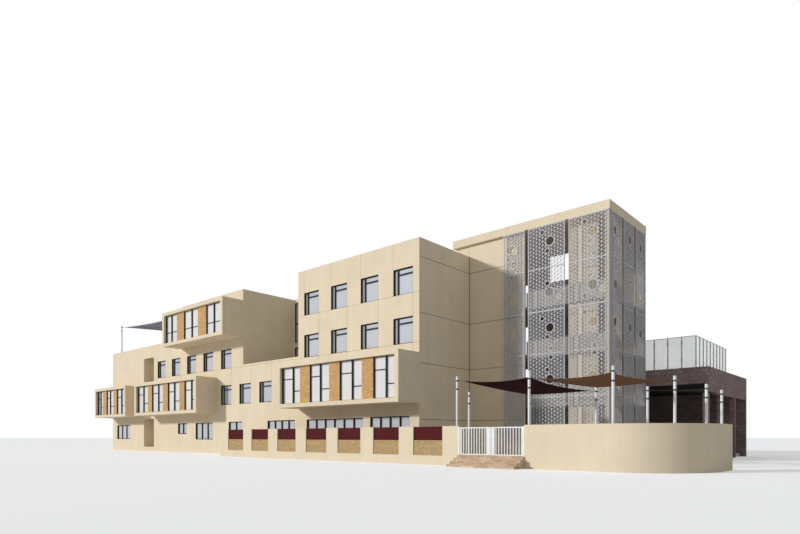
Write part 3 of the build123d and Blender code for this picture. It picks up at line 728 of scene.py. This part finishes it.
class SCHOOL_OT_wall_joints(bpy.types.Operator):
    """Dark joints between the panels of render"""
    bl_idname = "school.wall_joints"
    bl_label = "Wall joints"

    def execute(self, context):
        width = context.scene.school_sizes.joint
        shape = Shape()
        reach = WINDOW[0] / 2
        head = SILL + WINDOW[1]

        def upright(u, v0, v1):
            self.joint(shape, front(0.0), (u, u), (v0, v1), width)

        def level(u0, u1, v):
            self.joint(shape, front(0.0), (u0, u1), (v, v), width)

        def between(middles, left, right_end, v):
            edges = [left] + [e for m in middles for e in (m - reach, m + reach)] + [right_end]
            for a, b in zip(edges[::2], edges[1::2]):
                level(a, b, v)

        for m in BLOCK_WINDOWS:
            upright(m - reach, LEVEL[3] + head, TOP_PARAPET - 0.01)
            upright(m + reach, LEVEL[2] + head, LEVEL[3] + SILL)
            upright(m + reach, BAY_TOP, LEVEL[2] + SILL)
        for z in (LEVEL[2] + SILL, LEVEL[3] + SILL):
            between(BLOCK_WINDOWS, BLOCK_LEFT, 0.0, z)
        for m in WING_WINDOWS:
            upright(m - reach, LEVEL[2] + head, LEVEL[3] - 0.05)
            upright(m + reach, BAY_TOP, LEVEL[2] + SILL)
        between(WING_WINDOWS, NICHE_RIGHT, WING_RIGHT, LEVEL[2] + SILL)
        for m in LINK_WINDOWS:
            under_wing = m + reach < WING_RIGHT
            upright(m + reach, LEVEL[1] + head,
                    LEVEL[2] + SILL if under_wing else LINK_PARAPET - 0.01)
        level(WING_RIGHT, BLOCK_LEFT, LINK_JOINT)
        # Front joints, their filler lightened as painted sunlight.
        shape.piece("wall_joints", FINISHES["sealant"])
        shape = Shape()
        for z in SIDE_JOINTS:
            self.joint(shape, right(0.0), (0.12, LOBBY_Y), (z, z), SIDE_JOINT)
            self.joint(shape, front(LOBBY_Y), (0.0, LOBBY_RIGHT), (z, z), SIDE_JOINT)
        shape.block(front(LOBBY_Y), 0.0, 0.03, -0.03, 0, 0.60, TOP_PARAPET)
        # Side joints, their filler darkened as painted shade.
        shape.piece("side_joints", FINISHES["dark_sealant"])
        return {"FINISHED"}

    def joint(self, shape, place, us, vs, width):
        """A joint between two points of a wall, drawn level or upright."""
        across, up = (width / 2, 0) if us[0] == us[1] else (0, width / 2)
        shape.block(place, us[0] - across, us[1] + across, -0.003, 0.01, vs[0] - up, vs[1] + up)


class SCHOOL_OT_street_seams(bpy.types.Operator):
    """Standing seams on the street wall's metal panels"""
    bl_idname = "school.street_seams"
    bl_label = "Street wall seams"

    def execute(self, context):
        pitch = context.scene.school_sizes.rib_pitch
        shape = Shape()
        n = round(FENCE_PANEL / pitch)
        for x in FENCE_BAYS:
            for i in range(n + 1):
                u = min(max(x + i * FENCE_PANEL / n, x + 0.012), x + FENCE_PANEL - 0.012)
                for place, at in ((front(FENCE_Y + 0.12), u), (rear(FENCE_Y + 0.18), -u)):
                    shape.block(place, at - 0.011, at + 0.011, -0.012, 0, *SEAM_Z)
        shape.piece("street_seams", FINISHES["burgundy_metal"])
        return {"FINISHED"}


# Screens

def clip(a, b, low, high):
    """The part of a line that lies inside a rectangle, or None."""
    t0, t1 = 0.0, 1.0
    for k in (0, 1):
        d = b[k] - a[k]
        if abs(d) < 1e-9:
            if not low[k] <= a[k] <= high[k]:
                return None
            continue
        one, two = sorted(((low[k] - a[k]) / d, (high[k] - a[k]) / d))
        t0, t1 = max(t0, one), min(t1, two)
    if t1 - t0 < 1e-6:
        return None
    return ([a[k] + (b[k] - a[k]) * t0 for k in (0, 1)],
            [a[k] + (b[k] - a[k]) * t1 for k in (0, 1)])


def outside(a, b, holes, margin):
    """The stretches of a line that lie outside the round holes."""
    length = math.dist(a, b)
    ux, uv = (b[0] - a[0]) / length, (b[1] - a[1]) / length
    cuts = []
    for hu, hv, r in holes:
        r += margin
        along = (hu - a[0]) * ux + (hv - a[1]) * uv
        off = abs((hu - a[0]) * uv - (hv - a[1]) * ux)
        if off < r:
            half = math.sqrt(r * r - off * off)
            cuts.append((along - half, along + half))
    start = 0.0
    for c0, c1 in sorted(cuts) + [(length, length)]:
        if c0 - start > 0.01:
            yield ([a[0] + ux * start, a[1] + uv * start], [a[0] + ux * c0, a[1] + uv * c0])
        start = max(start, c1)


def screen(name, place, sheets, node, sizes):
    """Perforated sheets: a lattice of three sets of bars, round holes, plain edges."""
    pitch, width = sizes.lattice_pitch, sizes.lattice_bar
    shape = Shape()
    across = pitch * math.cos(math.radians(30))
    slope = math.tan(math.radians(30))
    edge, back = SCREEN_EDGE, SCREEN_THICK
    for u0, u1, holes in sheets:
        low, high = (u0 + 0.02, SCREEN_BASE + 0.02), (u1 - 0.02, FASCIA_Z - 0.02)
        lines = []
        n = int((u1 - u0) / across) + 1
        for i in range(n + 1):
            u = u0 + i * across
            lines.append(((u, low[1]), (u, high[1]), 0.010))
        run = (u1 - u0) + across
        spare = int(slope * run / pitch) + 2
        for i in range(-spare, int((high[1] - low[1]) / pitch) + spare):
            v = low[1] + i * pitch
            lines.append(((u0, v), (u0 + run, v + slope * run), 0.013))
            lines.append(((u0, v), (u0 + run, v - slope * run), 0.016))
        for a, b, inset in lines:
            kept = clip(a, b, low, high)
            if kept:
                for c, d in outside(*kept, holes, HOLE_RIM * 0.5):
                    shape.bar(place, c, d, width, inset - 0.004, inset + 0.030)
        for hu, hv, r in holes:
            shape.hoop(place, hu, hv, r, r + HOLE_RIM, 0.004, back - 0.004)
        for a, b in ((u0, u0 + edge), (u1 - edge, u1)):
            shape.block(place, a, b, 0.0, back, SCREEN_BASE, FASCIA_Z)
        for v in (SCREEN_BASE + edge / 2, FASCIA_Z - edge / 2) + SCREEN_JOINTS:
            shape.block(place, u0 + edge, u1 - edge, 0.0, back, v - edge / 2, v + edge / 2)
    obj = shape.piece(name, FINISHES["screen"])
    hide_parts(node)


class SCHOOL_OT_front_lattice(bpy.types.Operator):
    """Perforated screens on the stair tower's front"""
    bl_idname = "school.front_lattice"
    bl_label = "Front screens"

    def execute(self, context):
        screen("front_lattice", front(SCREEN_Y), FRONT_SCREENS, "front_screens",
               context.scene.school_sizes)
        return {"FINISHED"}


class SCHOOL_OT_side_lattice(bpy.types.Operator):
    """Perforated screens on the stair tower's right side"""
    bl_idname = "school.side_lattice"
    bl_label = "Side screens"

    def execute(self, context):
        screen("side_lattice", right(TOWER_RIGHT), SIDE_SCREENS, "side_screens",
               context.scene.school_sizes)
        return {"FINISHED"}


class SCHOOL_OT_handrails(bpy.types.Operator):
    """Steel handrails on the stair tower's landings"""
    bl_idname = "school.handrails"
    bl_label = "Handrails"

    def execute(self, context):
        shape = Shape()
        for z in LEVEL[1:4]:
            top = z + LANDING_HEAD
            shape.rod((5.50, HANDRAIL_Y, top + 0.08), (12.18, HANDRAIL_Y, top + 0.08), 0.028)
            for x in (5.65 + 1.07 * i for i in range(7)):
                shape.rod((x, HANDRAIL_Y, top - 0.01), (x, HANDRAIL_Y, top + 0.07), 0.014, 10)
        shape.piece("landing_handrails", FINISHES["rail"])
        return {"FINISHED"}


class SCHOOL_OT_balustrade_fittings(bpy.types.Operator):
    """Cap rail and clips of the podium's glass balustrade"""
    bl_idname = "school.balustrade_fittings"
    bl_label = "Balustrade fittings"

    def execute(self, context):
        shape = Shape()
        clip_w = 0.06
        for place, posts, end in ((front(RAIL_Y), RAIL_XS, RAIL_X),
                                  (right(RAIL_X + RAIL_BAR), RAIL_YS, RAIL_YS[-1])):
            shape.block(place, posts[0] + RAIL_BAR, end, 0.015, 0.065, RAIL_Z - 0.045,
                        RAIL_Z - 0.005)
            for z in (DECK_Z + 0.35, DECK_Z + 1.75, DECK_Z + 3.10):
                for u in posts:
                    for side in (u - clip_w, u + RAIL_BAR):
                        if posts[0] < side < end:
                            shape.block(place, side, side + clip_w, 0.01, 0.07, z, z + 0.08)
        shape.piece("balustrade_fittings", FINISHES["rail"], soften=0.002)
        return {"FINISHED"}


# Shade sails

def inset_corners(name):
    """Where the cloth's corners lie, a stay's length in from the posts."""
    corners = [Vector(c) for c in SAILS[name]]
    middle = sum(corners, Vector()) / len(corners)
    return [middle + (c - middle) * (1 - STAY / (c - middle).length) for c in corners]


def sail_points(corners, dip, sag, n):
    """A smooth stretched surface whose edges curve in and hang a little, as rows of points."""
    rows = []
    if len(corners) == 4:
        a, b, c, d = corners

        def edge(p, q, inward, t):
            low = Vector((0, 0, -(q - p).length * sag))
            return p.lerp(q, t) + (inward * dip + low) * 4 * t * (1 - t)

        up, across = ((d + c) - (a + b)) / 2, ((b + c) - (a + d)) / 2
        for j in range(n + 1):
            v = j / n
            row = []
            for i in range(n + 1):
                u = i / n
                bottom, top = edge(a, b, up, u), edge(d, c, -up, u)
                left, right_edge = edge(a, d, across, v), edge(b, c, -across, v)
                flat = a.lerp(b, u).lerp(d.lerp(c, u), v)
                row.append(bottom.lerp(top, v) + left.lerp(right_edge, u) - flat)
            rows.append(row)
        return rows
    a, b, c = corners
    for j in range(n + 1):
        row = []
        for i in range(n + 1 - j):
            wb, wc = i / n, j / n
            wa = 1 - wb - wc
            p = a * wa + b * wb + c * wc
            p += (c - (a + b) / 2) * dip * 4 * wa * wb
            p += (a - (b + c) / 2) * dip * 4 * wb * wc
            p += (b - (a + c) / 2) * dip * 4 * wa * wc
            row.append(p)
        rows.append(row)
    return rows


def sail(name, cloth_name, sizes):
    """A stretched cloth in the place of its stiff sheet, hemmed along its edges."""
    corners = inset_corners(name)
    rows = sail_points(corners, sizes.edge_dip, sizes.edge_sag, 24)
    points, index = [], []
    for row in rows:
        index.append(range(len(points), len(points) + len(row)))
        points += row
    faces = []
    for low, high in zip(index, index[1:]):
        for i in range(len(low) - 1):
            if len(high) == len(low):
                faces.append((low[i], low[i + 1], high[i + 1], high[i]))
            else:
                faces.append((low[i], low[i + 1], high[i]))
                if i + 1 < len(high):
                    faces.append((low[i + 1], high[i + 1], high[i]))
    shape = Shape()
    shape.add([p + CLOTH_RISE for p in points], faces, True)
    obj = shape.piece(name + "_cloth", FINISHES[cloth_name])
    thick = obj.modifiers.new("cloth thickness", "SOLIDIFY")
    thick.thickness = 0.004
    thick.offset = 0.0
    sides = [(q - p).length * SCALE for p, q in zip(corners, corners[1:] + corners[:1])]
    if len(sides) == 4:
        wide, long = max(sides[0], sides[2]), max(sides[1], sides[3])
    else:
        a, b, c = corners
        wide = max(sides)
        long = (b - a).cross(c - a).length * SCALE ** 2 / wide
    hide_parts(name)
    hem = Shape()
    there = rows[0] + [row[-1] for row in rows[1:]]
    back = rows[-1][:-1][::-1] + [row[0] for row in rows[1:-1]][::-1]
    loop = there + back
    for p, q in zip(loop, loop[1:] + loop[:1]):
        if (q - p).length > 1e-4:
            hem.rod(p + CLOTH_RISE, q + CLOTH_RISE, 0.012, 6)
    band = hem.piece(name + "_hem", FINISHES[cloth_name])
    return corners


class SCHOOL_OT_sails(bpy.types.Operator):
    """The four shade sails, stretched between their corners"""
    bl_idname = "school.sails"
    bl_label = "Shade sails"

    def execute(self, context):
        sizes = context.scene.school_sizes
        rings = Shape()
        for name, finish, slot in (("maroon_sail", "maroon_cloth", "maroon_cloth"),
                                   ("brown_sail", "brown_cloth", "brown_cloth"),
                                   # The east sail takes the grey cloth darkened as painted shade.
                                   ("east_sail", "dark_cloth", "grey_cloth"),
                                   ("roof_sail", "grey_cloth", "grey_cloth")):
            corners = sail(name, finish, sizes)
            middle = sum(corners, Vector()) / len(corners)
            for c in corners:
                out = (c - middle).normalized()
                flat = out.cross(Vector((0, 0, 1))).cross(out)
                rings.ring(c + CLOTH_RISE + out * 0.02, flat, 0.045, 0.010)
        rings.piece("sail_rings", FINISHES["fittings"])
        return {"FINISHED"}


class SCHOOL_OT_post_fittings(bpy.types.Operator):
    """Dark clamps and white caps on the sail posts"""
    bl_idname = "school.post_fittings"
    bl_label = "Post fittings"

    def execute(self, context):
        clamps, caps = Shape(), Shape()
        for x, y, top in POSTS:
            hook = min((c[2] for s in SAILS.values() for c in s if c[0] == x and c[1] == y),
                       default=top - 0.30)
            for z in (hook - 0.05, hook - 0.62):
                clamps.lathe((x, y, z), (0, 0, 1),
                             ((0, POST_R), (0.004, POST_R + 0.018), (0.10, POST_R + 0.018),
                              (0.104, POST_R)), 24)
            caps.lathe((x, y, top - 0.05), (0, 0, 1),
                       ((0, POST_R), (0.006, POST_R + 0.012), (0.035, POST_R + 0.012),
                        (0.046, POST_R * 0.7)), 24)
        clamps.piece("post_clamps", FINISHES["fittings"])
        obj = caps.piece("post_caps", FINISHES["white_metal"])
        return {"FINISHED"}


# Stage

EYE = (29.463, -35.488, 1.85)      # camera, at eye height on the street
EYE_TURN = math.atan2(0.6639, 0.7478)
SUNLIGHT = Vector((0.80, 1.0, -0.42))
FLOOR_REACH = 600.0


class SCHOOL_OT_stage(bpy.types.Operator):
    """Floor, light, background and camera"""
    bl_idname = "school.stage"
    bl_label = "Stage"

    def execute(self, context):
        scene = context.scene
        scene.view_settings.view_transform = "Standard"
        self.floor(scene)
        self.background(scene)
        self.sun(scene)
        self.camera(scene)
        return {"FINISHED"}

    def sun(self, scene):
        lamp = bpy.data.lights.new("low sun", "SUN")
        lamp.energy = 2.5
        lamp.angle = math.radians(5)
        sun = bpy.data.objects.new("low sun", lamp)
        scene.collection.objects.link(sun)
        sun.rotation_euler = SUNLIGHT.to_track_quat("-Z", "Y").to_euler()
        sun.location = real(-30, -50, 30)

    def camera(self, scene):
        """A level view from the street, raised by shift so that uprights stay upright."""
        eye = bpy.data.cameras.new("street view")
        eye.lens = 26.199
        eye.sensor_width = 36.0
        eye.shift_y = 0.21235
        eye.clip_end = 2000.0
        camera = bpy.data.objects.new("street view", eye)
        scene.collection.objects.link(camera)
        camera.location = real(*EYE)
        camera.rotation_euler = (math.radians(90), 0, EYE_TURN)
        scene.camera = camera

    def floor(self, scene):
        """A pale floor, a little brighter for the camera alone, that keeps the shadow."""
        mesh = bpy.data.meshes.new("floor")
        r = FLOOR_REACH
        mesh.from_pydata([(-r, -r, 0), (r, -r, 0), (r, r, 0), (-r, r, 0)], [], [(0, 1, 2, 3)])
        floor = bpy.data.objects.new("floor", mesh)
        scene.collection.objects.link(floor)
        floor.location.z = -0.002
        made = Finish("pale floor", 0.95)
        made.gloss(0.1)
        made.colour(made.ramp(made.noise(0.05, 2.0), (0.76, 0.76, 0.76), (0.79, 0.79, 0.79)))
        glow = made.node("ShaderNodeEmission", values={"Color": (1, 1, 1, 1), "Strength": 0.30})
        both = made.node("ShaderNodeAddShader", {0: made.shader.outputs[0], 1: glow.outputs[0]})
        seen = made.node("ShaderNodeLightPath").outputs["Is Camera Ray"]
        pick = made.node("ShaderNodeMixShader", {0: seen, 1: made.shader.outputs[0],
                                                 2: both.outputs[0]})
        out = made.tree.nodes["Material Output"]
        made.tree.links.new(pick.outputs[0], out.inputs["Surface"])
        mesh.materials.append(made.material)

    def background(self, scene):
        """Soft fill light, and plain white for the camera, reflections and glass."""
        world = bpy.data.worlds.new("studio")
        world.use_nodes = True
        scene.world = world
        tree = world.node_tree
        tree.nodes.clear()
        rays = add_node(tree, "ShaderNodeLightPath").outputs
        seen = rays["Is Camera Ray"]
        for other in ("Is Glossy Ray", "Is Transmission Ray"):
            seen = add_node(tree, "ShaderNodeMath", {0: seen, 1: rays[other]},
                            operation="MAXIMUM").outputs[0]
        fill, white = (add_node(tree, "ShaderNodeBackground",
                                values={"Color": colour, "Strength": strength}).outputs[0]
                       for colour, strength in (((0.94, 0.97, 1.0, 1), 0.40),
                                                ((1, 1, 1, 1), 1.0)))
        mix = add_node(tree, "ShaderNodeMixShader", {0: seen, 1: fill, 2: white})
        add_node(tree, "ShaderNodeOutputWorld", {"Surface": mix.outputs[0]})


class SCHOOL_PT_panel(bpy.types.Panel):
    """Steps that dress the building, and what they take"""
    bl_idname = "SCHOOL_PT_panel"
    bl_label = "School Building"
    bl_space_type = "VIEW_3D"
    bl_region_type = "UI"
    bl_category = "School"

    def draw(self, context):
        column = self.layout.column(align=True)
        for step in STEPS:
            column.operator(step.bl_idname)
        for group in (context.scene.school_sizes, context.scene.school_colours):
            column = self.layout.column()
            for key in type(group).__annotations__:
                column.prop(group, key)


STEPS = (
    SCHOOL_OT_finishes,
    SCHOOL_OT_window_frames,
    SCHOOL_OT_ground_frames,
    SCHOOL_OT_bay_frames,
    SCHOOL_OT_wall_joints,
    SCHOOL_OT_street_seams,
    SCHOOL_OT_front_lattice,
    SCHOOL_OT_side_lattice,
    SCHOOL_OT_handrails,
    SCHOOL_OT_balustrade_fittings,
    SCHOOL_OT_sails,
    SCHOOL_OT_post_fittings,
    SCHOOL_OT_stage,
)
CLASSES = (SchoolSizes, SchoolColours) + STEPS + (SCHOOL_PT_panel,)


def register():
    for cls in CLASSES:
        bpy.utils.register_class(cls)
    bpy.types.Scene.school_sizes = PointerProperty(type=SchoolSizes)
    bpy.types.Scene.school_colours = PointerProperty(type=SchoolColours)


def unregister():
    del bpy.types.Scene.school_colours
    del bpy.types.Scene.school_sizes
    for cls in reversed(CLASSES):
        bpy.utils.unregister_class(cls)


def main():
    register()
    for step in STEPS:
        getattr(bpy.ops.school, step.bl_idname.split(".")[1])()
    bpy.context.view_layer.update()


if __name__ == "__main__":
    main()
